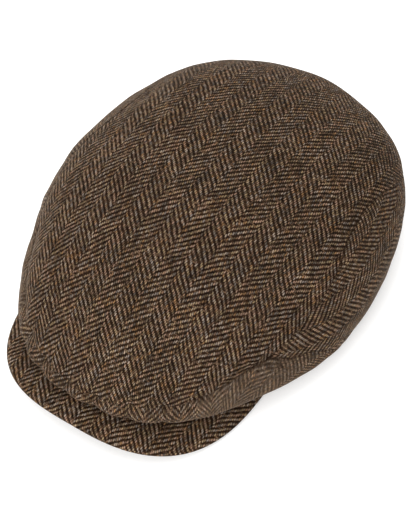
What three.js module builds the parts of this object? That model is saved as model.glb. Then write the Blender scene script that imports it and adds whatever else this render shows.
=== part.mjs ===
import * as THREE from 'three';

// A flat cap resting on its rim. Lengths in millimetres, angles in degrees. The peak points to -Y,
// the wearer's left is +X, and the origin is under the middle of the cap at the rim's height.

const wall = 2.0;             // thickness of the cloth
const seamGap = 0.3;          // clear space between neighbouring pieces

const crownHeight = 95;       // highest point of the crown above the rim
const crownY = -6.5;          // place of that highest point along Y
const underFullness = 2.6;    // how squarely the cloth turns under at the widest edge
const bandStart = 1.85;       // where, on the way down to the hem (2), the upright band begins
const bandHeight = 5.0;       // upright band above the rim at the sides and back
const frontBandHeight = 1.5;  // the same where the hem lies on the peak
const bandGrowth = { from: 60, to: 90 };    // angles between which the front band turns into the other

const rimHalfWidth = 82.5;    // the head opening is an ellipse, seen from above
const rimHalfLength = 100;
const rimBehind = 25.7;       // its middle lies this far behind the crown's highest point
const hemForward = 0.65;      // share of the overhang where the front hem lies on the peak

const peakHalfWidth = 79;     // the peak, seen from above
const peakDepth = 89.7;       // from its widest line to its front edge
const peakWidest = 48.3;      // widest line, this far in front of the highest point
const peakSquareness = 2.57;
const peakArch = 18.9;        // rise of its middle over its sides
const peakDroop = 2.5;        // how far its front edge hangs below that arch
const droopWidth = 18;        // and how far behind the edge it begins to hang
const peakHalfThick = 2.25;
const peakTipThick = 1.3;     // half thickness at the two tips
const peakTaper = 68;         // angle where the tips begin to thin
const peakEnd = 80;           // and where each tip ends
const hemDrop = { from: 81.5, to: 92 };     // angles behind the tips where the hem comes down to the rim

const roundSide = 0.0028;     // how fast the crown falls away beside its highest point
const roundLong = 0.0025;     // the same in front and behind, evened out
const roundShift = 1.1e-5;    // and how much faster in front than behind
const roundShare = 0.5;       // share of the reach over which this rounding fades out

const gatherCount = 7;        // soft bulges where the front is gathered onto the peak
const gatherPitch = 9.5;
const gatherRise = 2.0;
const gatherLift = 0.6;       // how much a bulge rises for each millimetre that it stands out
const gatherTop = { from: 0.7, to: 0.95 };      // places between which the bulges begin
const gatherUnder = { from: 1.1, to: 1.6 };     // and between which they end, below the widest edge
const bandDip = 1.1;          // how deep the cloth is drawn in along the front band's upper seam
const bandDipWidth = 0.04;    // half width of that dip, as a share of the section

// The crown's section in each direction from its highest point, 0 at the front, 180 at the back:
// reach to the widest edge, height of that edge, fullness of the top (1 tent-like, 2 round).
const crownRows = [
  { angle: 0, reach: 128, edge: 34.0, full: 1.16 },
  { angle: 30, reach: 119.5, edge: 31.0, full: 1.43 },
  { angle: 60, reach: 104, edge: 25.7, full: 2.04 },
  { angle: 90, reach: 105, edge: 23.0, full: 2.34 },
  { angle: 120, reach: 117.5, edge: 27.7, full: 2.07 },
  { angle: 150, reach: 143, edge: 37.0, full: 1.54 },
  { angle: 180, reach: 151.7, edge: 41.6, full: 1.27 },
];

// The side seam, above a side panel: for each direction, its place from the highest point (0)
// over the widest edge (1) to the hem (2). It starts at the panel's front tip.
const seamRows = [
  { angle: 58, place: 0.8 },
  { angle: 62, place: 0.779 },
  { angle: 66, place: 0.765 },
  { angle: 79, place: 0.71 },
  { angle: 97, place: 0.655 },
  { angle: 115, place: 0.605 },
  { angle: 124, place: 0.61 },
  { angle: 133, place: 0.675 },
  { angle: 140, place: 0.8 },
  { angle: 145, place: 0.94 },
  { angle: 148, place: 1.1 },
  { angle: 150.5, place: 1.5 },
  { angle: 153, place: 2.0 },
];

// The upper seam of the front band, from the middle of the front past the side panel's tip to the hem.
const bandRows = [
  { angle: 0, place: 0.88 },
  { angle: 12, place: 0.857 },
  { angle: 24, place: 0.852 },
  { angle: 33, place: 0.832 },
  { angle: 42, place: 0.808 },
  { angle: 50, place: 0.79 },
  { angle: 58, place: 0.8 },
  { angle: 66, place: 0.87 },
  { angle: 72, place: 0.9 },
  { angle: 78, place: 0.945 },
  { angle: 84, place: 1.0 },
  { angle: 88, place: 1.1 },
  { angle: 92, place: 1.35 },
  { angle: 96, place: 2.0 },
];
const tipAngle = 58;          // both seams meet here, at the side panel's front tip
const hemAngle = { band: 96, seam: 153 };       // directions in which the two seams reach the hem

// How closely the panels are divided, as runs of equal steps between angles.
const columnRuns = [
  { from: 0, to: 58, steps: 22 },
  { from: 58, to: 84, steps: 7 },
  { from: 84, to: 96, steps: 6 },
  { from: 96, to: 138, steps: 8 },
  { from: 138, to: 153, steps: 8 },
  { from: 153, to: 180, steps: 5 },
];
const fullRows = [0, 0.14, 0.3, 0.48, 0.65, 0.82, 0.95, 1.05, 1.25, 1.55, bandStart, 2];
const cutShares = [0, 0.12, 0.24, 0.36, 0.48, 0.6, 0.71, 0.8, 0.88, 0.94, 0.975, 1];
const nearFold = 0.9;         // a column that ends above this place is divided by shares
const seamEnd = 1.8;          // a piece stops where its seam passes this place
const sideShares = [0, 0.08, 0.2, 0.35, 0.5, 0.65, 0.82, 1];
const bandShares = [0, 0.06, 0.14, 0.26, 0.4, 0.58, 0.78, 1];
const peakColumns = 54;

const radians = (degrees) => degrees * Math.PI / 180;
const mix = (a, b, t) => a + (b - a) * t;
const clamp = (t) => Math.min(1, Math.max(0, t));
const ease = (t) => clamp(t) * clamp(t) * (3 - 2 * clamp(t));
const rise = (value, span) => ease((value - span.from) / (span.to - span.from));

// A smooth value in every direction through one column of the crown's rows.
function throughRows(column) {
  const last = crownRows.length - 1;
  const waves = crownRows.map((_, k) => {
    let sum = 0;
    crownRows.forEach((row, j) => {
      const share = (j === 0 || j === last) ? 0.5 : 1;
      sum += share * row[column] * Math.cos(Math.PI * j * k / last);
    });
    return sum * ((k === 0 || k === last) ? 1 : 2) / last;
  });
  return (angle) => waves.reduce((sum, wave, k) => sum + wave * Math.cos(k * radians(angle)), 0);
}

const reachAt = throughRows('reach');
const edgeAt = throughRows('edge');
const fullAt = throughRows('full');

// A seam's place at an angle, a smooth curve that never overshoots its rows.
function placeOn(rows, angle) {
  const turn = Math.abs(angle);
  let i = 0;
  while (i < rows.length - 2 && turn > rows[i + 1].angle) i += 1;
  const slope = (k) => (rows[k + 1].place - rows[k].place) / (rows[k + 1].angle - rows[k].angle);
  const tangent = (k) => {
    if (k === 0 || k === rows.length - 1) return slope(Math.min(k, rows.length - 2));
    const a = slope(k - 1);
    const b = slope(k);
    return a * b <= 0 ? 0 : 2 * a * b / (a + b);
  };
  const step = rows[i + 1].angle - rows[i].angle;
  const t = clamp((turn - rows[i].angle) / step);
  const t2 = t * t;
  const t3 = t2 * t;
  return rows[i].place * (2 * t3 - 3 * t2 + 1) + rows[i + 1].place * (3 * t2 - 2 * t3)
    + step * (tangent(i) * (t3 - 2 * t2 + t) + tangent(i + 1) * (t3 - t2));
}

// Distance from the highest point to the rim's ellipse in one direction.
function rimReach(angle) {
  const x = Math.sin(radians(angle));
  const y = -Math.cos(radians(angle));
  const a = (x / rimHalfWidth) ** 2 + (y / rimHalfLength) ** 2;
  const b = -2 * y * rimBehind / rimHalfLength ** 2;
  const c = (rimBehind / rimHalfLength) ** 2 - 1;
  return (-b + Math.sqrt(b * b - 4 * a * c)) / (2 * a);
}

// Height of the peak's middle layer, an arch from side to side.
function peakHeight(x) {
  return peakHalfThick + peakArch * (1 - clamp(Math.abs(x) / peakHalfWidth) ** 2);
}

function peakHalf(angle) {
  return mix(peakHalfThick, peakTipThick, rise(Math.abs(angle), { from: peakTaper, to: peakEnd }));
}

// Where the crown's cloth ends: on the peak at the front, on the rim elsewhere.
function hemAt(angle, depth) {
  const turn = Math.abs(angle);
  const forward = hemForward * Math.max(0, Math.cos(radians(turn))) ** 2;
  const reach = mix(rimReach(angle), reachAt(angle), forward) - depth;
  const onPeak = peakHeight(reach * Math.sin(radians(turn))) + peakHalfThick + seamGap;
  const height = onPeak * (1 - rise(turn, hemDrop));
  return { reach, height };
}

// Soft bulges where the front of the top panel is gathered onto the peak.
function gather(angle, place) {
  const span = gatherCount * gatherPitch / 2;
  const along = 1 - ease((Math.abs(angle) - span + gatherPitch) / gatherPitch);
  const down = rise(place, gatherTop) * (1 - rise(place, gatherUnder));
  const ripple = Math.abs(Math.cos(Math.PI * angle / gatherPitch)) - 2 / Math.PI;
  return gatherRise * ripple * along * down;
}

// How far the cloth is drawn in along the front band's upper seam.
function drawnIn(angle, place) {
  const off = (place - placeOn(bandRows, angle)) / bandDipWidth;
  return bandDip * Math.exp(-off * off) * (1 - rise(Math.abs(angle), { from: tipAngle, to: hemAngle.band }));
}

// A point of the crown's cloth; depth 0 is the outer face and depth 'wall' the inner one.
function crownPoint(angle, place, depth) {
  const edge = edgeAt(angle);
  const widest = reachAt(angle) - depth;
  let reach;
  let z;
  if (place <= 1) {
    const t = place * Math.PI / 2;
    reach = widest * Math.sin(t);
    const x = reach * Math.sin(radians(angle));
    const y = -reach * Math.cos(radians(angle));
    const round = crownHeight - depth - roundSide * x * x - roundLong * y * y + roundShift * y ** 3;
    const full = edge + (crownHeight - depth - edge) * Math.max(0, Math.cos(t)) ** (2 / fullAt(angle));
    z = mix(round, full, ease(Math.sin(t) / roundShare));
  } else {
    const hem = hemAt(angle, depth);
    const band = mix(frontBandHeight, bandHeight, rise(Math.abs(angle), bandGrowth));
    const low = hem.height + band + depth;
    const t = clamp((place - 1) / (bandStart - 1)) * Math.PI / 2;
    const power = 2 / underFullness;
    reach = mix(hem.reach, widest, Math.max(0, Math.cos(t)) ** power);
    z = mix(edge, low, Math.sin(t) ** power);
    if (place > bandStart) z = mix(low, hem.height, (place - bandStart) / (2 - bandStart));
  }
  const bulge = gather(angle, place) - drawnIn(angle, place);
  reach += bulge;
  z += bulge * gatherLift;
  return [reach * Math.sin(radians(angle)), crownY - reach * Math.cos(radians(angle)), z];
}

// A seam's edge at an angle, moved by half the gap across the seam (side -1 up, +1 down).
function seamEdge(rows, angle, side) {
  const place = placeOn(rows, angle);
  const small = 0.01;
  const here = crownPoint(angle, place, 0);
  const distance = (p) => Math.hypot(p[0] - here[0], p[1] - here[1], p[2] - here[2]);
  const inward = place > bandStart ? -small : small;
  const perPlace = distance(crownPoint(angle, place + inward, 0)) / small;
  const perAngle = distance(crownPoint(angle + small, place, 0)) / small;
  const turn = Math.abs(angle);
  const slant = (placeOn(rows, turn + small) - placeOn(rows, Math.abs(turn - small))) / (2 * small);
  const shift = seamGap / 2 * Math.hypot(perAngle, perPlace * slant) / (perPlace * perAngle);
  return place + side * shift;
}

// A closed body gathered from its faces, with shared corners.
class Body {
  constructor() {
    this.corners = [];
    this.faces = [];
    this.known = new Map();
  }

  corner(point) {
    const key = point.map((value) => value.toFixed(4)).join(' ');
    if (!this.known.has(key)) {
      this.known.set(key, this.corners.length);
      this.corners.push(point);
    }
    return this.known.get(key);
  }

  triangle(a, b, c) {
    const [i, j, k] = [this.corner(a), this.corner(b), this.corner(c)];
    if (i !== j && j !== k && k !== i) this.faces.push([i, j, k]);
  }

  // Two triangles over four corners given in order, cut along the shorter diagonal.
  quad(a, b, c, d) {
    const length = (p, q) => Math.hypot(p[0] - q[0], p[1] - q[1], p[2] - q[2]);
    if (length(a, c) <= length(b, d)) {
      this.triangle(a, b, c);
      this.triangle(a, c, d);
    } else {
      this.triangle(a, b, d);
      this.triangle(b, c, d);
    }
  }

  volume() {
    let sum = 0;
    for (const [i, j, k] of this.faces) {
      const [a, b, c] = [this.corners[i], this.corners[j], this.corners[k]];
      sum += a[0] * (b[1] * c[2] - b[2] * c[1]) + a[1] * (b[2] * c[0] - b[0] * c[2])
        + a[2] * (b[0] * c[1] - b[1] * c[0]);
    }
    return sum / 6;
  }

  mesh(name, colour) {
    const outward = this.volume() > 0;
    const order = outward ? this.faces : this.faces.map(([i, j, k]) => [i, k, j]);
    const geometry = new THREE.BufferGeometry();
    geometry.setAttribute('position', new THREE.Float32BufferAttribute(this.corners.flat(), 3));
    geometry.setIndex(order.flat());
    geometry.computeVertexNormals();
    const material = new THREE.MeshStandardMaterial({ color: colour, roughness: 0.95, metalness: 0 });
    const mesh = new THREE.Mesh(geometry, material);
    mesh.name = name;
    return mesh;
  }
}

// A closed wall between an outer and an inner grid of points, each a list of columns.
// 'around' joins the last column to the first, as in a dome whose columns start at one point.
function wallBody(outer, inner, around) {
  const body = new Body();
  const columns = outer.length;
  const rows = outer[0].length;
  for (let i = 0; i < (around ? columns : columns - 1); i += 1) {
    const j = (i + 1) % columns;
    for (let k = 0; k < rows - 1; k += 1) {
      body.quad(outer[i][k], outer[i][k + 1], outer[j][k + 1], outer[j][k]);
      body.quad(inner[i][k], inner[j][k], inner[j][k + 1], inner[i][k + 1]);
    }
    const end = rows - 1;
    body.quad(outer[i][end], inner[i][end], inner[j][end], outer[j][end]);
    if (!around) body.quad(outer[i][0], outer[j][0], inner[j][0], inner[i][0]);
  }
  if (!around) {
    const last = columns - 1;
    for (let k = 0; k < rows - 1; k += 1) {
      body.quad(outer[0][k], inner[0][k], inner[0][k + 1], outer[0][k + 1]);
      body.quad(outer[last][k], outer[last][k + 1], inner[last][k + 1], inner[last][k]);
    }
  }
  return body;
}

// The angles of the columns from the front (0) to the back (180).
function columnAngles() {
  const angles = [0];
  for (const run of columnRuns) {
    for (let i = 1; i <= run.steps; i += 1) angles.push(mix(run.from, run.to, i / run.steps));
  }
  return angles;
}

function topPanel() {
  const half = columnAngles();
  const angles = [...half, ...half.slice(1, -1).reverse().map((angle) => -angle)];
  const grid = (depth) => angles.map((angle) => {
    const turn = Math.abs(angle);
    const rows = turn < tipAngle ? bandRows : seamRows;
    const end = turn >= hemAngle.seam ? 2 : seamEdge(rows, angle, -1);
    const folded = clamp((end - nearFold) / (2 - nearFold));
    return fullRows.map((full, k) => crownPoint(angle, mix(end * cutShares[k], full * end / 2, folded), depth));
  });
  return wallBody(grid(0), grid(wall), true).mesh('top_panel', 0x51402f);
}

// A side panel, from its front tip between the two seams to the hem and back to the side seam's end.
function sidePanel(name, hand) {
  const span = (angle) => {
    const lower = angle < hemAngle.band ? seamEdge(bandRows, angle, -1) : 2;
    return { start: seamEdge(seamRows, angle, 1), end: Math.min(lower, 2) };
  };
  const ends = columnAngles().filter((angle) => angle > tipAngle && placeOn(seamRows, angle) < seamEnd);
  const grid = (depth) => ends.map((turn) => {
    const { start, end } = span(turn);
    const last = Math.min(end, bandStart);
    const places = sideShares.map((share) => mix(start, last, share));
    return [...places, end].map((place) => crownPoint(hand * turn, place, depth));
  });
  return wallBody(grid(0), grid(wall), false).mesh(name, 0x4d3d2f);
}

// The front band, from its upper seam down to the hem on the peak.
function frontBand() {
  const half = columnAngles().filter((angle) => angle <= hemAngle.band && placeOn(bandRows, angle) < seamEnd);
  const angles = [...half.slice(1).reverse().map((angle) => -angle), ...half];
  const grid = (depth) => angles.map((angle) => {
    const start = seamEdge(bandRows, angle, 1);
    const places = bandShares.map((share) => mix(start, bandStart, share));
    return [...places, 2].map((place) => crownPoint(angle, place, depth));
  });
  return wallBody(grid(0), grid(wall), false).mesh('front_band', 0x584737);
}

// Distance from the highest point to the peak's outer edge in one direction.
function peakReach(angle) {
  const turn = radians(Math.abs(angle));
  const straight = peakHalfWidth / Math.sin(Math.max(turn, 0.01));
  if (straight * Math.cos(turn) <= peakWidest) return straight;
  const outside = (reach) => {
    const across = reach * Math.sin(turn) / peakHalfWidth;
    const ahead = Math.max(0, reach * Math.cos(turn) - peakWidest) / peakDepth;
    return across ** peakSquareness + ahead ** peakSquareness > 1;
  };
  let near = peakWidest;
  let far = peakWidest + peakDepth + 1;
  for (let i = 0; i < 40; i += 1) {
    const middle = (near + far) / 2;
    if (outside(middle)) far = middle;
    else near = middle;
  }
  return near;
}

// The peak: a thin arched crescent from the rim to its rounded outer edge.
function peak() {
  const edgeRound = [[0, 1], [0.45, 0.9], [0.85, 0.55], [1, 0], [0.85, -0.55], [0.45, -0.9], [0, -1]];
  const flatShares = [0, 0.3, 0.55, 0.75, 0.88];
  const sections = [];
  for (let i = 0; i <= peakColumns; i += 1) {
    const angle = mix(-peakEnd, peakEnd, i / peakColumns);
    const half = peakHalf(angle);
    const inner = rimReach(angle) - wall;
    const outer = peakReach(angle);
    const flatEnd = outer - half * Math.min(1, (outer - inner) / (4 * half));
    const ahead = clamp((outer * Math.cos(radians(angle)) - peakWidest) / peakDepth);
    const at = (reach, lift) => {
      const x = reach * Math.sin(radians(angle));
      const droop = peakDroop * ahead ** 2 * clamp((reach - outer) / droopWidth + 1) ** 2;
      return [x, crownY - reach * Math.cos(radians(angle)), Math.max(0, peakHeight(x) + lift - droop)];
    };
    const upper = flatShares.map((share) => at(mix(inner, flatEnd, share), half));
    const turned = edgeRound.map(([out, up]) => at(mix(flatEnd, outer, out), half * up));
    const lower = flatShares.map((share) => at(mix(inner, flatEnd, share), -half)).reverse();
    sections.push([...upper, ...turned, ...lower]);
  }
  const body = new Body();
  const count = sections[0].length;
  for (let i = 0; i < peakColumns; i += 1) {
    for (let k = 0; k < count; k += 1) {
      const next = (k + 1) % count;
      body.quad(sections[i][k], sections[i + 1][k], sections[i + 1][next], sections[i][next]);
    }
  }
  for (let k = 0; k < Math.floor(count / 2); k += 1) {
    const [a, b, c, d] = [k, k + 1, count - 2 - k, count - 1 - k];
    const [start, end] = [sections[0], sections[peakColumns]];
    body.quad(start[a], start[b], start[c], start[d]);
    body.quad(end[d], end[c], end[b], end[a]);
  }
  return body.mesh('peak', 0x4a3a2c);
}

const cap = new THREE.Group();
cap.name = 'flat_cap';
cap.add(topPanel());
cap.add(sidePanel('side_panel_left', 1));
cap.add(sidePanel('side_panel_right', -1));
cap.add(frontBand());
cap.add(peak());

export default cap;
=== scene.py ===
import math

import bmesh
import bpy
import numpy as np
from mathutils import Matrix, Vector, kdtree


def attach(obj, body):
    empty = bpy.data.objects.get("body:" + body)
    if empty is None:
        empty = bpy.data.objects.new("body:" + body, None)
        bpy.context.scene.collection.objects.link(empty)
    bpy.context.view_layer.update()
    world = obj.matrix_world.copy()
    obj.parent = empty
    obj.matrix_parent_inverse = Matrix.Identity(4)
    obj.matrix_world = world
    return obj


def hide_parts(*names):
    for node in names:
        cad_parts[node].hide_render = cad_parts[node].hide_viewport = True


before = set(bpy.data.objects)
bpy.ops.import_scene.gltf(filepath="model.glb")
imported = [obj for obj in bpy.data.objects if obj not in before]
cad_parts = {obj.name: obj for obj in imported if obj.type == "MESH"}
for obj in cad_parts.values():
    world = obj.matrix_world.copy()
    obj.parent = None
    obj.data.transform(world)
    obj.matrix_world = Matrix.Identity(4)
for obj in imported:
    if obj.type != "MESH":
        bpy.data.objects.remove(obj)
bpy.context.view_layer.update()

mm = 0.001    # one millimetre in scene units

# The cap's surface is worked out in millimetres.
# Angles are in degrees round the crown's highest point: 0 front, 90 wearer's left, 180 back.
# A place runs down a section: 0 highest point, 1 widest edge, 2 hem.

cap = {
    "wall": 2.0,              # thickness of the cloth
    "hemGap": 0.3,            # the front hem stands this far above the peak
    "crownHeight": 95.0,
    "crownY": -6.5,           # where the highest point lies, front to back
    "underFullness": 2.6,     # 2 makes the underside round, more makes it fuller
    "bandStart": 1.85,        # the place where the cloth turns upright above the hem
    "bandHeight": 5.0,        # upright height at the sides and back, and at the front
    "frontBandHeight": 1.5,
    "bandGrowth": (60.0, 90.0),
    "rimHalfWidth": 82.5,     # the ellipse of the head opening, outside the cloth
    "rimHalfLength": 100.0,
    "rimBehind": 25.7,        # its middle lies this far behind the highest point
    "hemForward": 0.65,       # how far the front hem leaves that ellipse for the widest edge
    "hemDrop": (81.5, 92.0),  # angles between which the hem comes down from the peak to the rim
    "roundSide": 0.0028,      # curvature of the top near its highest point
    "roundLong": 0.0025,
    "roundShift": 1.1e-5,     # and how it changes from front to back
    "roundShare": 0.5,        # it has given way to the sections' own shape this far out
}

peakShape = {
    "halfWidth": 80.3,
    "depth": 89.7,            # from its widest line forward to the edge
    "widest": 48.3,           # its sides are straight up to here, ahead of the crown's highest point
    "squareness": 2.57,       # 2 makes the edge an ellipse, more makes its corners fuller
    "arch": 18.9,
    "droop": 2.5,             # how far the front edge hangs below the arch
    "droopWidth": 18.0,
    "halfThick": 2.25,
    "tipThick": 1.3,
    "taper": (68.0, 80.0),    # the tips thin between these angles and end at the second
}

gathers = {
    "count": 7,
    "pitch": 9.5,             # degrees from one bulge to the next
    "rise": 2.7,
    "lift": 0.6,              # how much of a bulge goes upwards
    "top": (0.7, 0.95),       # places between which the bulges grow, and fade again
    "under": (1.1, 1.6),
    "dip": 1.1,               # how deep the cloth is drawn in along the front band's upper seam
    "dipWidth": 0.04,         # half width of that dip, as a place
}

sag = {    # the soft cloth sags out and down round its widest edge
    "rows": ((52, 0.0), (60, 0.7), (68, 1.6), (76, 2.5), (83, 2.5), (90, 1.5), (96, 0.9), (106, 1.5),
             (116, 1.2), (128, 0.6), (140, 0.0)),    # angle and mm
    "out": 0.88,
    "down": 0.47,
    "top": (0.8, 1.05),       # places between which it grows, and fades again
    "under": (1.4, 1.8),
}

# sections of the crown at even angles from front to back: reach to the widest edge, height of
# that edge, and fullness of the top
crownRows = {
    "reach": (128.0, 119.5, 104.0, 105.0, 117.5, 143.0, 151.7),
    "edge": (34.0, 31.0, 25.7, 23.0, 27.7, 37.0, 41.6),
    "full": (1.16, 1.43, 2.04, 2.34, 2.07, 1.54, 1.27),
}

# seams as angle and place on that section: above a side panel, and above the front band
seamRows = (
    (58, 0.8), (62, 0.779), (66, 0.765), (79, 0.71), (97, 0.655), (115, 0.605), (124, 0.61),
    (133, 0.675), (140, 0.8), (145, 0.94), (148, 1.1), (150.5, 1.5), (153, 2.0),
)
bandRows = (
    (0, 0.88), (12, 0.857), (24, 0.852), (33, 0.832), (42, 0.808), (50, 0.79), (58, 0.8), (66, 0.87),
    (72, 0.9), (78, 0.945), (84, 1.0), (88, 1.1), (92, 1.35), (96, 2.0),
)
tipAngle = 58    # both seams meet at the side panel's front tip
hemAngle = {"band": 96, "seam": 153}    # and reach the hem here


def mix(a, b, t):
    return a + (b - a) * t


def ease(t):
    t = np.clip(t, 0, 1)
    return t * t * (3 - 2 * t)


def rise(value, span):
    return ease((value - span[0]) / (span[1] - span[0]))


def between(rows, angle):    # straight lines between rows of an angle and a value
    return np.interp(angle, [row[0] for row in rows], [row[1] for row in rows])


def throughRows(column):    # an even cosine series through one column of the crown's rows
    rows = crownRows[column]
    last = len(rows) - 1
    waves = []
    for k in range(last + 1):
        total = sum((0.5 if j in (0, last) else 1.0) * rows[j] * math.cos(math.pi * j * k / last)
                    for j in range(last + 1))
        waves.append(total * (1 if k in (0, last) else 2) / last)

    def value(angle):
        return sum(wave * np.cos(k * np.radians(angle)) for k, wave in enumerate(waves))
    return value


reachAt = throughRows("reach")
edgeAt = throughRows("edge")
fullAt = throughRows("full")


def placeOn(rows, angle):    # smooth curve through a seam's rows that never overshoots
    angles = np.array([row[0] for row in rows], float)
    places = np.array([row[1] for row in rows], float)
    slopes = np.diff(places) / np.diff(angles)
    before, after = slopes[:-1], slopes[1:]
    same = before * after > 0
    middle = np.where(same, 2 * before * after / np.where(same, before + after, 1), 0)
    tangents = np.concatenate([slopes[:1], middle, slopes[-1:]])
    turn = np.abs(angle)
    i = np.clip(np.searchsorted(angles, turn, side="left") - 1, 0, len(angles) - 2)
    step = angles[i + 1] - angles[i]
    t = np.clip((turn - angles[i]) / step, 0, 1)
    t2, t3 = t * t, t * t * t
    return (places[i] * (2 * t3 - 3 * t2 + 1) + places[i + 1] * (3 * t2 - 2 * t3)
            + step * (tangents[i] * (t3 - 2 * t2 + t) + tangents[i + 1] * (t3 - t2)))


def rimReach(angle):    # from the highest point out to the rim's ellipse
    x = np.sin(np.radians(angle))
    y = -np.cos(np.radians(angle))
    a = (x / cap["rimHalfWidth"]) ** 2 + (y / cap["rimHalfLength"]) ** 2
    b = -2 * y * cap["rimBehind"] / cap["rimHalfLength"] ** 2
    c = (cap["rimBehind"] / cap["rimHalfLength"]) ** 2 - 1
    return (-b + np.sqrt(b * b - 4 * a * c)) / (2 * a)


def peakHeight(x):    # middle layer of the peak, an arch from side to side
    across = np.clip(np.abs(x) / peakShape["halfWidth"], 0, 1)
    return peakShape["halfThick"] + peakShape["arch"] * (1 - across ** 2)


def hemAt(angle, depth):    # the cloth ends on the peak at the front and on the rim elsewhere
    turn = np.abs(angle)
    forward = cap["hemForward"] * np.maximum(0, np.cos(np.radians(turn))) ** 2
    reach = mix(rimReach(angle), reachAt(angle), forward) - depth
    onPeak = peakHeight(reach * np.sin(np.radians(turn))) + peakShape["halfThick"] + cap["hemGap"]
    return reach, onPeak * (1 - rise(turn, cap["hemDrop"]))


def gatherBulge(angle, place):    # soft bulges where the front is gathered onto the peak
    span = gathers["count"] * gathers["pitch"] / 2
    along = 1 - ease((np.abs(angle) - span + gathers["pitch"]) / gathers["pitch"])
    down = rise(place, gathers["top"]) * (1 - rise(place, gathers["under"]))
    ripple = np.abs(np.cos(math.pi * angle / gathers["pitch"])) - 2 / math.pi
    return gathers["rise"] * ripple * along * down


def sagAt(angle, place):    # mm that the cloth sags, out and down together
    return between(sag["rows"], np.abs(angle)) * rise(place, sag["top"]) * (1 - rise(place, sag["under"]))


def drawnIn(angle, place):    # the dip along the front band's upper seam
    off = (place - placeOn(bandRows, angle)) / gathers["dipWidth"]
    return gathers["dip"] * np.exp(-off * off) * (1 - rise(np.abs(angle), (tipAngle, hemAngle["band"])))


def crownPoints(angle, place, depth):    # depth 0 is the outer face, the wall's thickness the inner one
    angle, place = np.broadcast_arrays(np.asarray(angle, float), np.asarray(place, float))
    sine, cosine = np.sin(np.radians(angle)), np.cos(np.radians(angle))
    edge = edgeAt(angle)
    widest = reachAt(angle) - depth
    top = cap["crownHeight"] - depth

    t = np.clip(place, 0, 1) * math.pi / 2
    topReach = widest * np.sin(t)
    x, y = topReach * sine, -topReach * cosine
    round_ = top - cap["roundSide"] * x * x - cap["roundLong"] * y * y + cap["roundShift"] * y ** 3
    full = edge + (top - edge) * np.maximum(0, np.cos(t)) ** (2 / fullAt(angle))
    topZ = mix(round_, full, ease(np.sin(t) / cap["roundShare"]))

    hemReach, hemZ = hemAt(angle, depth)
    upright = mix(cap["frontBandHeight"], cap["bandHeight"], rise(np.abs(angle), cap["bandGrowth"]))
    low = hemZ + upright + depth
    start = cap["bandStart"]
    t = np.clip((place - 1) / (start - 1), 0, 1) * math.pi / 2
    power = 2 / cap["underFullness"]
    underReach = mix(hemReach, widest, np.maximum(0, np.cos(t)) ** power)
    underZ = mix(edge, low, np.sin(t) ** power)
    underZ = np.where(place > start, mix(low, hemZ, (place - start) / (2 - start)), underZ)

    above = place <= 1
    bulge = gatherBulge(angle, place) - drawnIn(angle, place)
    sunk = sagAt(angle, place)
    reach = np.where(above, topReach, underReach) + bulge + sag["out"] * sunk
    z = np.where(above, topZ, underZ) + bulge * gathers["lift"] - sag["down"] * sunk
    return np.stack([reach * sine, cap["crownY"] - reach * cosine, z], -1)


def seamEdge(rows, angle, side):    # a seam's place moved by half its opening; side -1 up, +1 down
    small = 0.01    # step for slopes, as an angle and as a place
    place = placeOn(rows, angle)
    here = crownPoints(angle, place, 0)
    inward = np.where(place > cap["bandStart"], -small, small)
    perPlace = np.linalg.norm(crownPoints(angle, place + inward, 0) - here, axis=-1) / small
    perAngle = np.linalg.norm(crownPoints(angle + small, place, 0) - here, axis=-1) / small
    turn = np.abs(angle)
    slant = (placeOn(rows, turn + small) - placeOn(rows, np.abs(turn - small))) / (2 * small)
    shift = panelMesh["seamOpening"] / 2 * np.hypot(perAngle, perPlace * slant) / (perPlace * perAngle)
    return place + side * shift


panelMesh = {
    "runs": ((0, 58, 120), (58, 84, 44), (84, 96, 40), (96, 138, 52), (138, 153, 44), (153, 180, 44)),
    "topRows": 74,            # rows of the top panel before the close ones along its edge
    "sideRows": 44,
    "bandRows": 36,
    "edgeRows": (3.4, 2.6, 1.9, 1.35, 0.9, 0.5, 0.2, 0.0),    # distance from the edge
    "narrow": 3,              # they are squeezed where a piece is under this many times the first
    "innerStep": 3,           # every third row is kept on the hidden inner face
    "samples": 500,           # steps in which a section's length is measured
    "seamSamples": 700,       # points along each seam
    "seamEnd": 1.95,          # a piece stops where its seam passes this place
    "seamOpening": 0.06,      # the sewn edges all but touch
    "insideHeight": 20.0,     # height of a point inside the crown, away from which all faces look
    "sharpAngle": 55,         # degrees above which an edge stays sharp
    "weld": 2e-7,             # points closer than this are one, in metres
}

seamRoll = {"width": 2.0, "shallow": 0.1, "deep": 0.5}    # each panel's edge rolls down into the seam

# how sharply a seam is drawn in, by angle, which sets how deep it rolls in and how dark its painted shade
# is: above a side panel, and above the front band
sideCrease = ((58, 0.7), (66, 0.25), (90, 0.2), (98, 0.9), (118, 1.0), (130, 0.6), (153, 0.5))
bandCrease = (
    (0, 0.1), (30, 0.15), (34, 0.9), (38, 0.4), (46, 0.4), (50, 0.9), (60, 1.0), (66, 0.8), (72, 0.4),
    (96, 0.3),
)

ripples = {    # slow unevenness of worn cloth
    "waves": ((61.0, 20, 0.28, 0.4), (47.0, 95, 0.22, 1.9), (33.0, 150, 0.16, 3.1), (23.0, 60, 0.10, 5.0),
              (17.0, 122, 0.06, 2.2)),    # wavelength, direction in degrees, height, phase
    "upright": 0.6,           # how fast a wave runs on with height
    "low": (8.0, 24.0),       # heights between which they grow
    "seam": (0.0, 8.0),       # distances from a seam between which they grow
}


# small tucks where the stitching pulls the cloth in: angle, place, radius and depth
tucks = (
    (35, 0.84, 2.4, 1.2), (47, 0.823, 2.0, 1.0), (54, 0.797, 2.4, 1.0), (58.5, 0.788, 2.4, 1.3),
    (58, 0.828, 2.6, 1.4), (62, 0.862, 2.6, 1.2), (42, 0.812, 2.0, 0.5), (23.75, 0.862, 2.4, 1.0),
    (14.25, 0.868, 2.2, 0.8), (4.75, 0.882, 2.0, 0.6),
)

# painted shade in the seams and tucks, and the veil of loose fibres on each piece
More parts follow.
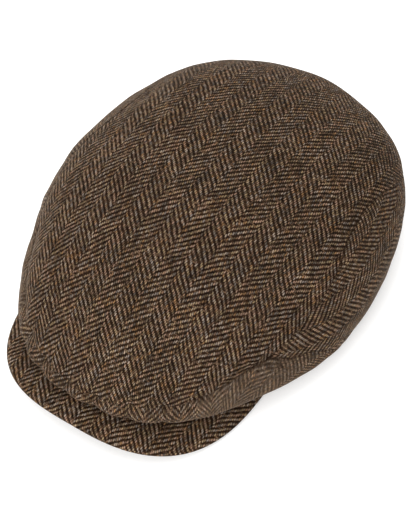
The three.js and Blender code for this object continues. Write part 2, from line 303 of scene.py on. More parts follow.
shadeAndFuzz = {
    "tuckShade": 0.75,        # how dark the painted shade at the bottom of the deepest tuck is
    "creaseWidth": 1.3,       # from a seam, within which painted shade darkens the cloth
    "creaseFill": 1.6,        # above 1 the darkest part of that line is widened
    "looseTop": 0.12,         # how much loose fibres veil the weave
    "looseSides": 0.16,
    "loosePeak": 0.12,
}


def columnAngles():    # from front to back, closer where the seams turn
    angles = [0.0]
    for low, high, steps in panelMesh["runs"]:
        angles += [mix(low, high, i / steps) for i in range(1, steps + 1)]
    return np.array(angles)


def sectionLengths(angles):    # length along each section from the highest point, at even places
    places = np.linspace(0, 2, panelMesh["samples"] + 1)
    points = crownPoints(angles[:, None], places[None, :], 0)
    steps = np.linalg.norm(np.diff(points, axis=1), axis=-1)
    return places, np.concatenate([np.zeros((len(angles), 1)), np.cumsum(steps, axis=1)], axis=1)


# places of the rows in each column, with closer rows along a seam, squeezed where a piece is narrow
def rowPlaces(places, lengths, start, end, count, closeStart, closeEnd):
    out = []
    for i in range(len(lengths)):
        first = np.interp(start[i], places, lengths[i])
        last = np.interp(end[i], places, lengths[i])
        narrow = panelMesh["narrow"] * panelMesh["edgeRows"][0]
        close = np.array(panelMesh["edgeRows"]) * min(1, (last - first) / narrow)
        low = first + close[0] if closeStart else first
        high = last - close[0] if closeEnd else last
        marks = np.linspace(low, high, count + 1)
        if closeStart:
            marks = np.concatenate([first + close[::-1], marks[1:]])
        if closeEnd:
            marks = np.concatenate([marks[:-1], last - close])
        out.append(np.interp(marks, lengths[i], places))
    return np.array(out)


def gridNormals(points, around):    # outward normals of a grid of points
    if around:
        across = np.roll(points, -1, axis=0) - np.roll(points, 1, axis=0)
    else:
        across = np.gradient(points, axis=0)
    down = np.gradient(points, axis=1)
    normals = np.cross(down, across)
    lengths = np.linalg.norm(normals, axis=-1, keepdims=True)
    normals = normals / np.maximum(lengths, 1e-9)
    outward = points - np.array([0, cap["crownY"], panelMesh["insideHeight"]])
    flip = np.sign((normals * outward).sum(-1, keepdims=True))
    flip[flip == 0] = 1
    return normals * flip


def seamTree():    # points along all the seams of the crown, and how sharp the seam is at each
    points, sharpness = [], []
    for rows, creaseShade in ((seamRows, sideCrease), (bandRows, bandCrease)):
        angles = np.linspace(rows[0][0], rows[-1][0], panelMesh["seamSamples"])
        strength = between(creaseShade, angles)
        for hand in (1, -1):
            points.append(crownPoints(hand * angles, placeOn(rows, angles), 0))
            sharpness.append(strength)
    points = np.concatenate(points)
    tree = kdtree.KDTree(len(points))
    for index, point in enumerate(points):
        tree.insert(point, index)
    tree.balance()
    return tree, np.concatenate(sharpness)


seamFinder, seamSharpness = seamTree()


def nearSeam(points):    # distance from each point to the nearest seam, and how sharp that seam is
    found = [seamFinder.find(point) for point in points.reshape(-1, 3)]
    gap = np.array([hit[2] for hit in found]).reshape(points.shape[:-1])
    return gap, seamSharpness[[hit[1] for hit in found]].reshape(points.shape[:-1])


def tuckDepth(points):    # how far the tucks pull the cloth in at each point, mm
    depth = np.zeros(points.shape[:-1])
    for angle, place, radius, deep in tucks:
        for hand in (1, -1):
            off = np.linalg.norm(points - crownPoints(hand * angle, place, 0), axis=-1) / radius
            depth = np.maximum(depth, deep * np.exp(-off * off))
    return depth


def softened(points, normals, seamDistance, sharp):    # slow ripples and the roll into the seam
    height = np.zeros(points.shape[:-1])
    for length, direction, tall, phase in ripples["waves"]:
        turn = math.radians(direction)
        run = points[..., 0] * math.cos(turn) + points[..., 1] * math.sin(turn)
        run = run + ripples["upright"] * points[..., 2]
        height += tall * np.sin(2 * math.pi * run / length + phase)
    height = height * rise(points[..., 2], ripples["low"]) * rise(seamDistance, ripples["seam"])
    roll = np.clip(1 - seamDistance / seamRoll["width"], 0, 1)
    height = height - mix(seamRoll["shallow"], seamRoll["deep"], sharp) * roll ** 2
    return normals * height[..., None]


def wallMesh(name, outer, inner, cloth, marks, around):    # joins both faces of a wall along its edges
    columns, rows = outer.shape[:2]
    close = len(panelMesh["edgeRows"])
    keep = list(range(0, rows - close, panelMesh["innerStep"])) + list(range(rows - close, rows))
    if not around:
        keep = sorted(set(list(range(0, close)) + keep))
    inner = inner[:, keep]
    count = len(keep)
    verts = np.concatenate([outer.reshape(-1, 3), inner.reshape(-1, 3)])
    uv = np.concatenate([cloth.reshape(-1, 2), cloth[:, keep].reshape(-1, 2)])
    marks = np.concatenate([marks.reshape(-1, 2), marks[:, keep].reshape(-1, 2)])
    base = columns * rows
    faces = []

    def outside(i, k):
        return i % columns * rows + k

    def inside(i, k):
        return base + i % columns * count + k

    last = columns if around else columns - 1
    for i in range(last):
        for k in range(rows - 1):
            faces.append((outside(i, k), outside(i, k + 1), outside(i + 1, k + 1), outside(i + 1, k)))
        for k in range(count - 1):
            faces.append((inside(i, k), inside(i + 1, k), inside(i + 1, k + 1), inside(i, k + 1)))
        low = (outside(i, rows - 1), inside(i, count - 1))
        faces.append((*low, inside(i + 1, count - 1), outside(i + 1, rows - 1)))
        if not around:
            faces.append((outside(i, 0), outside(i + 1, 0), inside(i + 1, 0), inside(i, 0)))
    if not around:
        for side in (0, columns - 1):    # the two ends of an open strip
            for k in range(count - 1):
                corner = inside(side, k)
                passed = range(keep[k], keep[k + 1])
                fan = [(corner, outside(side, m), outside(side, m + 1)) for m in passed]
                fan.append((corner, outside(side, keep[k + 1]), inside(side, k + 1)))
                faces += fan if side else [face[::-1] for face in fan]
    return finishedMesh(name, verts, faces, uv, marks)


def finishedMesh(name, verts, faces, uv, marks):    # marks: painted shade in a crease, and loose fibres with painted sheen
    mesh = bpy.data.meshes.new(name)
    mesh.from_pydata((verts * mm).tolist(), [], faces)
    layer = mesh.uv_layers.new(name="cloth")
    loops = np.empty(len(mesh.loops), np.int32)
    mesh.loops.foreach_get("vertex_index", loops)
    layer.data.foreach_set("uv", uv[loops].astype(np.float32).ravel())
    for column, label in enumerate(("creaseShade", "fuzzAndSheen")):
        attribute = mesh.attributes.new(label, "FLOAT", "POINT")
        attribute.data.foreach_set("value", np.ascontiguousarray(marks[:, column], np.float32))
    piece = bpy.data.objects.new(name, mesh)
    bpy.context.scene.collection.objects.link(piece)
    body = bmesh.new()
    body.from_mesh(mesh)
    bmesh.ops.remove_doubles(body, verts=body.verts, dist=panelMesh["weld"])
    bmesh.ops.recalc_face_normals(body, faces=body.faces)
    body.to_mesh(mesh)
    body.free()
    mesh.shade_smooth()
    mesh.set_sharp_from_angle(angle=math.radians(panelMesh["sharpAngle"]))
    mesh.update()
    return piece


def polarCloth(angles, along):    # cloth laid flat from the highest point, its stripes front to back
    turn = np.radians(angles)[:, None]
    return np.stack([along * np.sin(turn), -along * np.cos(turn)], -1)


def lengthsAt(rows, places, lengths):    # length along each section down to each row
    return np.array([np.interp(rows[i], places, lengths[i]) for i in range(len(rows))])


def dressed(name, angles, rows, cloth, around, fuzzAndSheen):    # both faces of a panel, softened and rolled
    outer = crownPoints(angles[:, None], rows, 0)
    inner = crownPoints(angles[:, None], rows, cap["wall"])
    normals = gridNormals(outer, around)
    if around:
        normals[:, 0] = (0, 0, 1)
    gap, sharp = nearSeam(outer)
    tuck = tuckDepth(outer)
    move = softened(outer, normals, gap, sharp) - normals * tuck[..., None]
    deepest = max(row[3] for row in tucks)
    # painted shade: a dark line along each seam and in each tuck
    line = np.clip(shadeAndFuzz["creaseFill"] * (1 - gap / shadeAndFuzz["creaseWidth"]), 0, 1)
    creaseShade = np.maximum(sharp * line, shadeAndFuzz["tuckShade"] * tuck / deepest)
    marks = np.stack([creaseShade, np.broadcast_to(fuzzAndSheen, creaseShade.shape)], -1)
    return wallMesh(name, outer + move, inner + move, cloth, marks, around)


topCloth = {
    "unit": 100.0,            # the next three say how the cloth is drawn, in this unit and its squares
    "sides": 0.039,
    "ends": 0.037,
    "frontSides": 0.011,
    "pucker": 1.3,            # how far the gathers push the stripes aside at the seam
    "puckerReach": 0.06,      # and how far up from it, as a place
}


def drawnBack(u, v):    # how far steaming has drawn the cloth's crosswise yarns
    unit = topCloth["unit"]
    u = u / unit
    v = v / unit
    drawn = topCloth["sides"] * u * u + topCloth["ends"] * v * v + topCloth["frontSides"] * u * u * v
    return -unit * drawn


def makeTopPanel():    # columns run all the way round the highest point
    half = columnAngles()
    angles = np.concatenate([half, -half[1:-1][::-1]])
    turn = np.abs(angles)
    places, lengths = sectionLengths(angles)
    cut = np.where(turn < tipAngle, seamEdge(bandRows, angles, -1), seamEdge(seamRows, angles, -1))
    end = np.where(turn >= hemAngle["seam"], 2.0, np.minimum(cut, 2.0))
    rows = rowPlaces(places, lengths, np.zeros(len(angles)), end, panelMesh["topRows"], False, True)
    cloth = polarCloth(angles, lengthsAt(rows, places, lengths))
    cloth[..., 1] += drawnBack(cloth[..., 0], cloth[..., 1])
    pucker = np.exp(-((rows - end[:, None]) / topCloth["puckerReach"]) ** 2) * (turn < tipAngle)[:, None]
    sway = np.sin(2 * math.pi * angles / gathers["pitch"])[:, None]
    cloth[..., 0] += topCloth["pucker"] * sway * pucker
    return dressed("topPanelCloth", angles, rows, cloth, True, shadeAndFuzz["looseTop"])


sideCloth = {
    "lean": 11.3,             # degrees between the side panel's stripes and its widest edge
    "middle": 90.0,           # the weave is laid out from this angle
    "short": 0.01,            # the lower seam is read just before the angle where it meets the hem
}


def makeSidePanel(hand, name):    # hand 1 on the wearer's left, -1 on the right
    half = columnAngles()
    ends = half[(half > tipAngle) & (half < hemAngle["seam"])]
    ends = ends[placeOn(seamRows, ends) < panelMesh["seamEnd"]]
    angles = hand * ends
    places, lengths = sectionLengths(angles)
    start = seamEdge(seamRows, ends, 1)
    beforeHem = np.minimum(ends, hemAngle["band"] - sideCloth["short"])
    lower = np.where(ends < hemAngle["band"], seamEdge(bandRows, beforeHem, -1), 2.0)
    rows = rowPlaces(places, lengths, start, np.minimum(lower, 2.0), panelMesh["sideRows"], True, True)
    edge = crownPoints(angles, np.ones(len(angles)), 0)
    run = np.concatenate([[0], np.cumsum(np.linalg.norm(np.diff(edge, axis=0), axis=-1))])
    run -= np.interp(sideCloth["middle"], ends, run)
    up = lengthsAt(np.ones((len(angles), 1)), places, lengths) - lengthsAt(rows, places, lengths)
    lean = math.radians(sideCloth["lean"])
    across = up * math.cos(lean) + run[:, None] * math.sin(lean)
    down = run[:, None] * math.cos(lean) - up * math.sin(lean)
    return dressed(name, angles, rows, np.stack([-across, down], -1), False, shadeAndFuzz["looseSides"])


bandCloth = {
    "stretch": 0.95,          # how long the weave is drawn down the band at the front
    "bias": 47.0,             # beside the front the stripes lean this far off straight down, in degrees
    "turn": (33.0, 44.0),     # angles between which they lean over
    "repeat": 23.8,           # cloth taken up by each gather, one V of the weave
    "fuzzAndSheen": ((0, 0.2), (30, 0.3), (36, 0.62), (62, 0.66), (72, 0.45), (96, 0.25)),    # angle, and a veil of loose fibres that is mostly painted sheen where the band turns away
    "hemFuzzAndSheen": 0.2,           # and how much more of that veil of loose fibres and painted sheen near the hem
}


def alongSeam(angles, reach, turned):    # cloth at the band's upper seam: gathered evenly, then turning
    step = np.radians(np.gradient(angles))
    gathered = np.full(len(angles), bandCloth["repeat"] / np.radians(gathers["pitch"]))
    taken = mix(gathered, reach, turned) * step
    heading = turned * np.radians(angles)
    run = np.cumsum(np.stack([taken * np.cos(heading), taken * np.sin(heading)], -1), axis=0)
    return run - run[len(angles) // 2]


def makeFrontBand():    # from one side over the front to the other
    half = columnAngles()
    half = half[half <= hemAngle["band"]]
    half = half[placeOn(bandRows, half) < panelMesh["seamEnd"]]
    angles = np.concatenate([-half[1:][::-1], half])
    places, lengths = sectionLengths(angles)
    start = seamEdge(bandRows, angles, 1)
    rows = rowPlaces(places, lengths, start, np.full(len(angles), 2.0), panelMesh["bandRows"], True, False)
    along = lengthsAt(rows, places, lengths)
    turned = rise(np.abs(angles), bandCloth["turn"])
    lean = turned * np.radians(np.clip(angles, -bandCloth["bias"], bandCloth["bias"]))
    drawn = mix(1 / bandCloth["stretch"], 1.0, turned)[:, None] * (along - along[:, :1])
    below = np.stack([drawn * np.sin(lean)[:, None], -drawn * np.cos(lean)[:, None]], -1)
    cloth = alongSeam(angles, along[:, 0], turned)[:, None] + below
    low = (rows - start[:, None]) / (2 - start[:, None])
    # painted sheen on the band, by angle and stronger towards the hem
    fuzzAndSheen = between(bandCloth["fuzzAndSheen"], np.abs(angles))[:, None] + bandCloth["hemFuzzAndSheen"] * ease(low)
    return dressed("frontBandCloth", angles, rows, cloth, False, fuzzAndSheen)


peakMesh = {
    "columns": 300,
    "upperRows": 44,
    "roundRows": 12,
    "lowerRows": 14,
    "edgeShare": 4,           # where the peak is short, its rounded edge takes one part in four of it
    "halvings": 40,           # steps in which its edge is found
    "smallestTurn": 0.01,     # straight ahead is looked at from this angle, in radians
}


def peakReach(angle):    # from the crown's highest point out to the peak's edge
    turn = np.maximum(np.radians(np.abs(angle)), peakMesh["smallestTurn"])
    straight = peakShape["halfWidth"] / np.sin(turn)
    near = np.full(np.shape(turn), peakShape["widest"])
    far = near + peakShape["depth"] + 1
    for _ in range(peakMesh["halvings"]):
        middle = (near + far) / 2
        across = middle * np.sin(turn) / peakShape["halfWidth"]
        ahead = np.maximum(0, middle * np.cos(turn) - peakShape["widest"]) / peakShape["depth"]
        outside = across ** peakShape["squareness"] + ahead ** peakShape["squareness"] > 1
        far = np.where(outside, middle, far)
        near = np.where(outside, near, middle)
    return np.where(straight * np.cos(turn) <= peakShape["widest"], straight, near)


def peakPoints(angles):    # rings from the root over the top, round the edge and back underneath
    shape = peakShape
    half = mix(shape["halfThick"], shape["tipThick"], rise(np.abs(angles), shape["taper"]))
    inner = rimReach(angles) - cap["wall"]
    outer = peakReach(angles)
    flatEnd = outer - half * np.minimum(1, (outer - inner) / (peakMesh["edgeShare"] * half))
    ahead = np.clip((outer * np.cos(np.radians(angles)) - shape["widest"]) / shape["depth"], 0, 1)

    upperShares = np.linspace(0, 1, peakMesh["upperRows"] + 1)[:-1]
    lowerShares = np.linspace(1, 0, peakMesh["lowerRows"] + 1)[1:]
    turns = np.linspace(math.pi / 2, -math.pi / 2, peakMesh["roundRows"] + 1)
    reach = np.concatenate([
        mix(inner[:, None], flatEnd[:, None], upperShares),
        mix(flatEnd[:, None], outer[:, None], np.cos(turns)),
        mix(inner[:, None], flatEnd[:, None], lowerShares)], axis=1)
    lift = np.concatenate([np.ones(len(upperShares)), np.sin(turns), -np.ones(len(lowerShares))])
    x = reach * np.sin(np.radians(angles))[:, None]
    y = cap["crownY"] - reach * np.cos(np.radians(angles))[:, None]
    edge = np.clip((reach - outer[:, None]) / shape["droopWidth"] + 1, 0, 1)
    droop = shape["droop"] * ahead[:, None] ** 2 * edge ** 2
    z = np.maximum(0, peakHeight(x) + lift[None, :] * half[:, None] - droop)
    return np.stack([x, y, z], -1)


def peakCloth(angles, points):    # the cloth drawn over the arch and round the edge
    x = points[..., 0]
    y = points[..., 1]
    steps = np.linalg.norm(np.diff(points, axis=1), axis=-1)
    along = np.concatenate([np.zeros((len(angles), 1)), np.cumsum(steps, axis=1)], axis=1)
    flat = np.hypot(x, y - cap["crownY"])
    extra = along - (flat - flat[:, :1])    # length hidden in slopes and in the turn of the edge
    slope = 2 * peakShape["arch"] / peakShape["halfWidth"] ** 2
    arc = x / 2 * np.sqrt(1 + (slope * x) ** 2) + np.arcsinh(slope * x) / (2 * slope)
    return np.stack([arc, y - extra * np.cos(np.radians(angles))[:, None]], -1)


def makePeak():
    angles = np.linspace(-peakShape["taper"][1], peakShape["taper"][1], peakMesh["columns"] + 1)
    points = peakPoints(angles)
    cloth = peakCloth(angles, points)
    columns, count = points.shape[:2]
    faces = []
    for i in range(columns - 1):
        for k in range(count):
            m = (k + 1) % count
            faces.append((i * count + k, (i + 1) * count + k, (i + 1) * count + m, i * count + m))
    faces.append(tuple(range(count)))
    faces.append(tuple(range((columns - 1) * count, columns * count))[::-1])
    marks = np.tile([0.0, shadeAndFuzz["loosePeak"]], (columns * count, 1))
    return finishedMesh("peakCloth", points.reshape(-1, 3), faces, cloth.reshape(-1, 2), marks)


tweed = {
    "endPitch": 0.992,        # mm from one lengthwise yarn to the next
    "pickPitch": 1.04,        # mm from one crosswise yarn to the next
    "endsPerStripe": 12,
    "passes": 2.0,            # yarns that each float passes over
    "powers": (0.6, 0.35, 1.2),    # below 1 flattens: its height, and its painted light and shade along and across
    "light": (    # where along the tone scale, and the yarn's colour there
        (0.34, (0.104, 0.084, 0.071)), (0.42, (0.168, 0.126, 0.094)), (0.47, (0.132, 0.091, 0.048)),
        (0.52, (0.144, 0.093, 0.057)), (0.58, (0.142, 0.087, 0.062)), (0.64, (0.127, 0.068, 0.030)),
    ),
    "dark": (
        (0.0, (0.007, 0.0024, 0.0007)), (0.55, (0.013, 0.0052, 0.0018)),
        (0.85, (0.026, 0.0122, 0.0055)), (1.0, (0.080, 0.046, 0.026)),
    ),
    "toneShares": (0.26, 0.32, 0.42),    # of single floats, runs of yarn and wider clusters
    "shade": (0.012, 0.006, 0.003),    # painted shade deep in a crease
    "shadeShare": 0.75,
    "fuzzAndSheen": (0.096, 0.068, 0.048),    # colour of loose fibres, and of painted sheen, that veil the weave
    "depth": 0.22,            # height of the yarns, mm
    "bump": 0.8,
    "bumpFibre": 0.6,         # height of the fuzz beside that of the yarns
    "roughness": (0.95, 0.82),    # between the yarns, and on top of them
    "sheen": 0.62,
    "sheenRoughness": 0.07,
    "sheenTint": (0.92, 0.75, 0.60, 1.0),
    "specular": 0.02,
}

# how much lighter or darker a float gets, least and most
strength = {
    "crestLightAndShade": (0.03, 1.33),    # painted shade at the edge of a float, painted highlight on its crest
    "fibre": (0.4, 1.6),      # fuzz
    "float": (0.4, 1.6),      # one float beside another
    "grain": (0.6, 1.4),      # a few yarns together
    "wide": (0.55, 1.45),     # patches of wear
    "spots": (0.7, 1.3),
    "hairs": (0.5, 1.5),      # the loose fibres themselves
}

# scale, detail and roughness of each noise; the cloth is measured in mm
noises = {
    "slow": (0.055, 2.0, 0.5),
    "quick": (0.34, 1.0, 0.5),
    "runs": (1.0, 2.0, 0.5),
    "clusters": (0.09, 3.0, 0.6),
    "fibre": (2.6, 3.0, 0.65),
    "grain": (0.75, 2.0, 0.6),
    "wide": (0.035, 2.0, 0.5),
    "spots": (0.15, 2.0, 0.5),
    "tufts": (0.5, 4.0, 0.7),
    "hairs": (3.2, 2.0, 0.6),
}

wander = {"slow": 2.4, "quick": 1.3}    # how far the yarns stray, mm
runScale = (0.55, 0.16)    # a run of one colour is short across the yarns and long along them
tuftRange = (0.32, 0.62)    # the noise at which a tuft of loose fibres begins, and is full
layers = {"swapped": 7.0, "floatTone": 1.0, "runs": 3.0, "dark": 5.0, "floatLight": 9.0, "fibre": 0.0,
          "grain": 40.0, "hairs": 60.0, "tufts": 80.0}    # a level of its own for each noise


class Nodes:    # short hand for building a shader from sums
    def __init__(self, material):
        material.use_nodes = True
        self.tree = material.node_tree
        self.tree.nodes.clear()

    def add(self, kind, **settings):
        node = self.tree.nodes.new(kind)
        for key, value in settings.items():
            setattr(node, key, value)
        return node

    def join(self, source, socket):
        if isinstance(source, (int, float)):
            socket.default_value = source
        else:
            self.tree.links.new(source, socket)

    def math(self, operation, *values, clamp=False):
        node = self.add("ShaderNodeMath", operation=operation, use_clamp=clamp)
        for socket, value in zip(node.inputs, values):
            self.join(value, socket)
        return node.outputs[0]

    def vector(self, x, y, z=0.0):
        node = self.add("ShaderNodeCombineXYZ")
        for socket, value in zip(node.inputs, (x, y, z)):
            self.join(value, socket)
        return node.outputs[0]

    def noise(self, vector, scale, detail, roughness):
        node = self.add("ShaderNodeTexNoise", noise_dimensions="3D")
        self.join(vector, node.inputs["Vector"])
        node.inputs["Scale"].default_value = scale
        node.inputs["Detail"].default_value = detail
        node.inputs["Roughness"].default_value = roughness
        return node.outputs["Fac"]

    def white(self, vector):
        node = self.add("ShaderNodeTexWhiteNoise", noise_dimensions="3D")
        self.join(vector, node.inputs["Vector"])
        return node.outputs["Value"]

    def blend(self, factor, a, b, mode="MIX"):
        node = self.add("ShaderNodeMix", data_type="RGBA", blend_type=mode)
        self.join(factor, node.inputs["Factor"])
        for value, socket in ((a, node.inputs["A"]), (b, node.inputs["B"])):
            if isinstance(value, tuple):
                socket.default_value = (*value, 1.0) if len(value) == 3 else value
            else:
                self.tree.links.new(value, socket)
        return node.outputs["Result"]

    def ramp(self, factor, stops):
        node = self.add("ShaderNodeValToRGB")
        ramp = node.color_ramp
        while len(ramp.elements) < len(stops):
            ramp.elements.new(0.5)
        for element, (position, colour) in zip(ramp.elements, stops):
            element.position = position
            element.color = (*colour, 1.0)
        self.join(factor, node.inputs["Fac"])
        return node.outputs["Color"]


def unevenness(n, place):    # slow and quick wandering of the yarns
    parts = []
    for name in ("slow", "quick"):
        centred = n.math("SUBTRACT", n.noise(place, *noises[name]), 0.5)
        parts.append(n.math("MULTIPLY", centred, wander[name]))
    return n.math("ADD", *parts)


def rangeNumber(n, value, low, high):    # 0 at low, 1 at high
    return n.math("DIVIDE", n.math("SUBTRACT", value, low), high - low, clamp=True)


def mixNumber(n, low, high, factor):    # low at 0, high at 1
    return n.math("ADD", n.math("MULTIPLY", factor, high - low), low)


def clothPlaces(n):    # mm across and along the cloth, bent because yarns are never quite straight
    cloth = n.add("ShaderNodeUVMap", uv_map="cloth").outputs["UV"]
    split = n.add("ShaderNodeSeparateXYZ")
    n.join(cloth, split.inputs[0])
    swapped = n.vector(split.outputs[1], split.outputs[0], layers["swapped"])
    across = n.math("ADD", split.outputs[0], unevenness(n, cloth))
    along = n.math("ADD", split.outputs[1], unevenness(n, swapped))
    return cloth, swapped, across, along


def weave(n, across, along, middle, endPitch):    # which yarns cross at a point, and which is on top
    ends = tweed["endsPerStripe"]
    u = n.math("ADD", n.math("DIVIDE", n.math("SUBTRACT", across, middle), endPitch), ends / 2)
    v = n.math("DIVIDE", along, tweed["pickPitch"] * endPitch / tweed["endPitch"])
    end = n.math("FLOOR", u)
    pick = n.math("FLOOR", v)
    parity = n.math("FLOORED_MODULO", n.math("FLOOR", n.math("DIVIDE", end, ends)), 2.0)
    sign = n.math("SUBTRACT", 1.0, n.math("MULTIPLY", parity, 2.0))
    diagonal = n.math("ADD", n.math("ADD", pick, n.math("MULTIPLY", sign, end)), parity)
    step = n.math("FLOORED_MODULO", diagonal, 2 * tweed["passes"])
    return {
        "end": end, "pick": pick, "v": v, "parity": parity, "sign": sign, "step": step,
        "light": n.math("LESS_THAN", step, tweed["passes"] - 0.5),
        "overEnd": n.math("SUBTRACT", u, end), "overPick": n.math("SUBTRACT", v, pick),
        "float": n.math("FLOOR", n.math("DIVIDE", diagonal, 2 * tweed["passes"])),
    }


def choose(n, light, whenLight, whenDark):    # light is 1 where a lengthwise, light yarn is on top
    dark = n.math("SUBTRACT", 1.0, light)
    return n.math("ADD", n.math("MULTIPLY", light, whenLight), n.math("MULTIPLY", dark, whenDark))


def floatShape(n, at):    # round profile of each float, along and across its yarn, and the painted light and shade that follow it
    passes = tweed["passes"]
    alongLight = n.math("DIVIDE", n.math("ADD", at["step"], at["overPick"]), passes)
    turned = n.math("ADD", n.math("MULTIPLY", at["sign"], at["overEnd"]), at["parity"])
    alongDark = n.math("DIVIDE", n.math("ADD", n.math("SUBTRACT", at["step"], passes), turned), passes)
    along = choose(n, at["light"], alongLight, alongDark)
    across = choose(n, at["light"], at["overEnd"], at["overPick"])
    humpAlong = n.math("MAXIMUM", n.math("SINE", n.math("MULTIPLY", along, math.pi)), 0.0)
    offCentre = n.math("SUBTRACT", n.math("MULTIPLY", across, 2.0), 1.0)
    parabola = n.math("SUBTRACT", 1.0, n.math("MULTIPLY", offCentre, offCentre))
    humpAcross = n.math("MAXIMUM", parabola, 0.0)
    flat, flatAlong, flatAcross = tweed["powers"]
    height = n.math("POWER", n.math("MULTIPLY", humpAlong, humpAcross), flat)
    # painted light and shade: lightest on a float's crest, darkest where it dips under the next yarn
    crestAlong = n.math("POWER", humpAlong, flatAlong)
    crestAcross = n.math("POWER", humpAcross, flatAcross)
    return height, n.math("MULTIPLY", crestAlong, crestAcross)


# each float has its own tone, and runs of yarn lean to rust, olive, beige or grey
def yarnColour(n, at, cloth):
    single = n.white(n.vector(at["end"], at["float"], layers["floatTone"]))
    runU = n.math("MULTIPLY", at["end"], runScale[0])
    runV = n.math("MULTIPLY", at["v"], runScale[1])
    runs = n.noise(n.vector(runU, runV, layers["runs"]), *noises["runs"])
    clusters = n.noise(cloth, *noises["clusters"])
    shares = tweed["toneShares"]
    tone = n.math("ADD", n.math("MULTIPLY", single, shares[0]), n.math("MULTIPLY", runs, shares[1]))
    tone = n.math("ADD", tone, n.math("MULTIPLY", clusters, shares[2]), clamp=True)
    lightColour = n.ramp(tone, tweed["light"])
    darkColour = n.ramp(n.white(n.vector(at["float"], at["pick"], layers["dark"])), tweed["dark"])
    return n.blend(at["light"], darkColour, lightColour)


def product(n, factors):    # all the factors multiplied together
    total = factors[0]
    for factor in factors[1:]:
        total = n.math("MULTIPLY", total, factor)
    return total


def scaled(n, colour, factor):    # a colour made lighter or darker
    return n.blend(1.0, colour, n.vector(factor, factor, factor), "MULTIPLY")


def woolSurface(n, colour, height, fibre):    # matt, with sheen and relief
    shader = n.add("ShaderNodeBsdfPrincipled")
    n.join(colour, shader.inputs["Base Color"])
    n.join(mixNumber(n, *tweed["roughness"], height), shader.inputs["Roughness"])
    shader.inputs["Specular IOR Level"].default_value = tweed["specular"]
    shader.inputs["Sheen Weight"].default_value = tweed["sheen"]
    shader.inputs["Sheen Roughness"].default_value = tweed["sheenRoughness"]
    shader.inputs["Sheen Tint"].default_value = tweed["sheenTint"]
    bump = n.add("ShaderNodeBump")
    bump.inputs["Strength"].default_value = tweed["bump"]
    bump.inputs["Distance"].default_value = tweed["depth"] * mm
    relief = n.math("ADD", height, n.math("MULTIPLY", fibre, tweed["bumpFibre"]))
    n.join(relief, bump.inputs["Height"])
    n.join(bump.outputs[0], shader.inputs["Normal"])
    out = n.add("ShaderNodeOutputMaterial")
    n.join(shader.outputs[0], out.inputs["Surface"])


def tweedMaterial(name, middle, endPitch, shade):    # one cloth, laid on a piece by its cloth map, lightened or darkened by shade, a painted light for that piece
    material = bpy.data.materials.new(name)
    n = Nodes(material)
    cloth, swapped, across, along = clothPlaces(n)
    at = weave(n, across, along, middle, endPitch)
    height, crestLightAndShade = floatShape(n, at)

    def bent(layer):    # noise that follows the bent yarns
        return n.noise(n.vector(across, along, layers[layer]), *noises[layer])

    fibre = bent("fibre")
    amounts = {
        "crestLightAndShade": crestLightAndShade,
        "fibre": fibre,
        "float": n.white(n.vector(at["end"], at["float"], layers["floatLight"])),
        "grain": bent("grain"),
        "wide": n.noise(cloth, *noises["wide"]),
        "spots": n.noise(swapped, *noises["spots"]),
    }
    factors = [mixNumber(n, *strength[key], amount) for key, amount in amounts.items()]
    # painted light: each piece's copy of the tweed is made lighter or darker by shade
    lit = scaled(n, yarnColour(n, at, cloth), product(n, [*factors, shade]))

    # loose fibres lie over the weave in uneven tufts, and on the band they paint its sheen
    fuzzAndSheen = n.add("ShaderNodeAttribute", attribute_name="fuzzAndSheen").outputs["Fac"]
    veil = n.math("MULTIPLY", rangeNumber(n, bent("tufts"), *tuftRange), fuzzAndSheen, clamp=True)
    lit = n.blend(veil, lit, scaled(n, tweed["fuzzAndSheen"], mixNumber(n, *strength["hairs"], bent("hairs"))))

    # painted shade deep in the seams and tucks
    creaseShade = n.add("ShaderNodeAttribute", attribute_name="creaseShade").outputs["Fac"]
    lit = n.blend(n.math("MULTIPLY", creaseShade, tweed["shadeShare"]), lit, tweed["shade"])
    woolSurface(n, lit, height, fibre)
    return material


studio = {
    "azimuth": 33.65,
    "elevation": 53.97,
    "distance": 1.2,
    "focalPixels": 1992.0,    # focal length in pixels of a picture 412 wide
    "pictureWidth": 412.0,
    "target": (0.0, -0.0065, 0.060),    # metres, like the lengths below
    "aim": (0.00498, -0.0212),    # right and up from the target, where the picture's middle looks
    "sensor": 36.0,           # mm
    "clip": (0.05, 20),
    "floor": (0.93, 0.93, 0.925, 1.0),
    "floorGlow": 0.25,        # a lit table, so that shadows stay faint
    "floorSize": 3.0,         # half its width
    "floorDrop": 0.0002,      # it lies this far under the rim
    "floorRoughness": 0.9,
    "floorSpecular": 0.1,
    "daylight": 1.0,
    "lightTarget": (0, 0, 0.03),
}

lights = (    # place in metres, size and power
    ("overhead", (-0.35, 0.0, 1.8), 1.6, 10),
    ("frontFill", (0.1, -1.7, 0.9), 1.4, 25),
    ("backGlow", (-0.9, 1.35, 0.65), 1.0, 11),
)


def makeCamera():
    a = math.radians(studio["azimuth"])
    e = math.radians(studio["elevation"])
    right = Vector((math.cos(a), math.sin(a), 0))
    up = Vector((-math.sin(a) * math.sin(e), math.cos(a) * math.sin(e), math.cos(e)))
    back = right.cross(up)
    target = Vector(studio["target"])
    place = target + back * studio["distance"]
    aim = target + right * studio["aim"][0] + up * studio["aim"][1]
    data = bpy.data.cameras.new("camera")
    data.sensor_fit = "HORIZONTAL"
    data.sensor_width = studio["sensor"]
    data.lens = studio["sensor"] * studio["focalPixels"] / studio["pictureWidth"]
    data.clip_start, data.clip_end = studio["clip"]
    camera = bpy.data.objects.new("camera", data)
    bpy.context.scene.collection.objects.link(camera)
    camera.rotation_euler = (aim - place).to_track_quat("-Z", "Y").to_euler()
    camera.location = place
    bpy.context.scene.camera = camera
    return camera


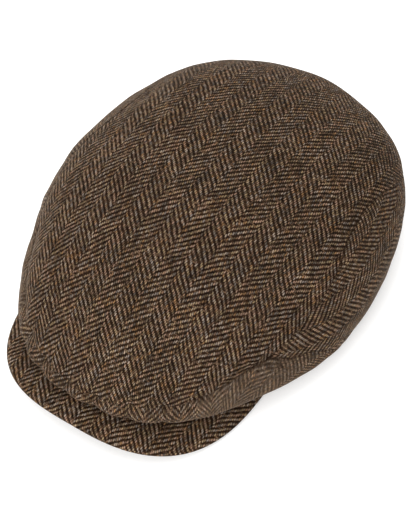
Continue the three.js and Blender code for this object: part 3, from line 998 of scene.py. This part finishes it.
def makeFloor():
    mesh = bpy.data.meshes.new("floor")
    size = studio["floorSize"]
    corners = [(-size, -size, 0), (size, -size, 0), (size, size, 0), (-size, size, 0)]
    mesh.from_pydata(corners, [], [(0, 1, 2, 3)])
    floor = bpy.data.objects.new("floor", mesh)
    bpy.context.scene.collection.objects.link(floor)
    material = bpy.data.materials.new("paleFloor")
    material.use_nodes = True
    shader = material.node_tree.nodes["Principled BSDF"]
    shader.inputs["Base Color"].default_value = studio["floor"]
    shader.inputs["Roughness"].default_value = studio["floorRoughness"]
    shader.inputs["Specular IOR Level"].default_value = studio["floorSpecular"]
    shader.inputs["Emission Color"].default_value = studio["floor"]
    shader.inputs["Emission Strength"].default_value = studio["floorGlow"]
    mesh.materials.append(material)
    floor.location.z = -studio["floorDrop"]
    return floor


def makeLight(name, place, size, power):
    data = bpy.data.lights.new(name, "AREA")
    data.shape = "SQUARE"
    data.size = size
    data.energy = power
    light = bpy.data.objects.new(name, data)
    light.location = place
    aim = Vector(studio["lightTarget"]) - Vector(place)
    light.rotation_euler = aim.to_track_quat("-Z", "Y").to_euler()
    bpy.context.scene.collection.objects.link(light)
    return light


def makeLights():
    world = bpy.data.worlds.new("studioLight")
    world.use_nodes = True
    background = world.node_tree.nodes["Background"]
    background.inputs["Color"].default_value = (1, 1, 1, 1)
    background.inputs["Strength"].default_value = studio["daylight"]
    bpy.context.scene.world = world
    for row in lights:
        makeLight(*row)
    view = bpy.context.scene.view_settings
    view.view_transform = "Standard"
    view.look = "None"


makeCamera()
makeFloor()
makeLights()
print("camera, floor and lights ready")

# where the middle of a stripe lies, mm from one lengthwise yarn to the next, and a painted lightness for
# each piece that stands in for how light falls on it
topTweed = tweedMaterial("tweedTop", 2.5, tweed["endPitch"], 1.0)
sideTweed = tweedMaterial("tweedSides", -6.8, tweed["endPitch"], 1.05)
bandTweed = tweedMaterial("tweedBand", -5.95, tweed["endPitch"], 1.08)
peakTweed = tweedMaterial("tweedPeak", -3.0, 0.946, 1.22)
print("tweed ready")

for piece, node, slot, material in (
        (makeTopPanel(), "top_panel", "tweed_top", topTweed),
        (makeSidePanel(1, "sidePanelLeftCloth"), "side_panel_left", "tweed_sides", sideTweed),
        (makeSidePanel(-1, "sidePanelRightCloth"), "side_panel_right", "tweed_sides", sideTweed),
        (makeFrontBand(), "front_band", "tweed_band", bandTweed),
        (makePeak(), "peak", "tweed_peak", peakTweed)):
    piece.data.materials.append(material)
    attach(piece, "root")
    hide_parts(node)
    print(piece.name, "made with", len(piece.data.polygons), "faces")
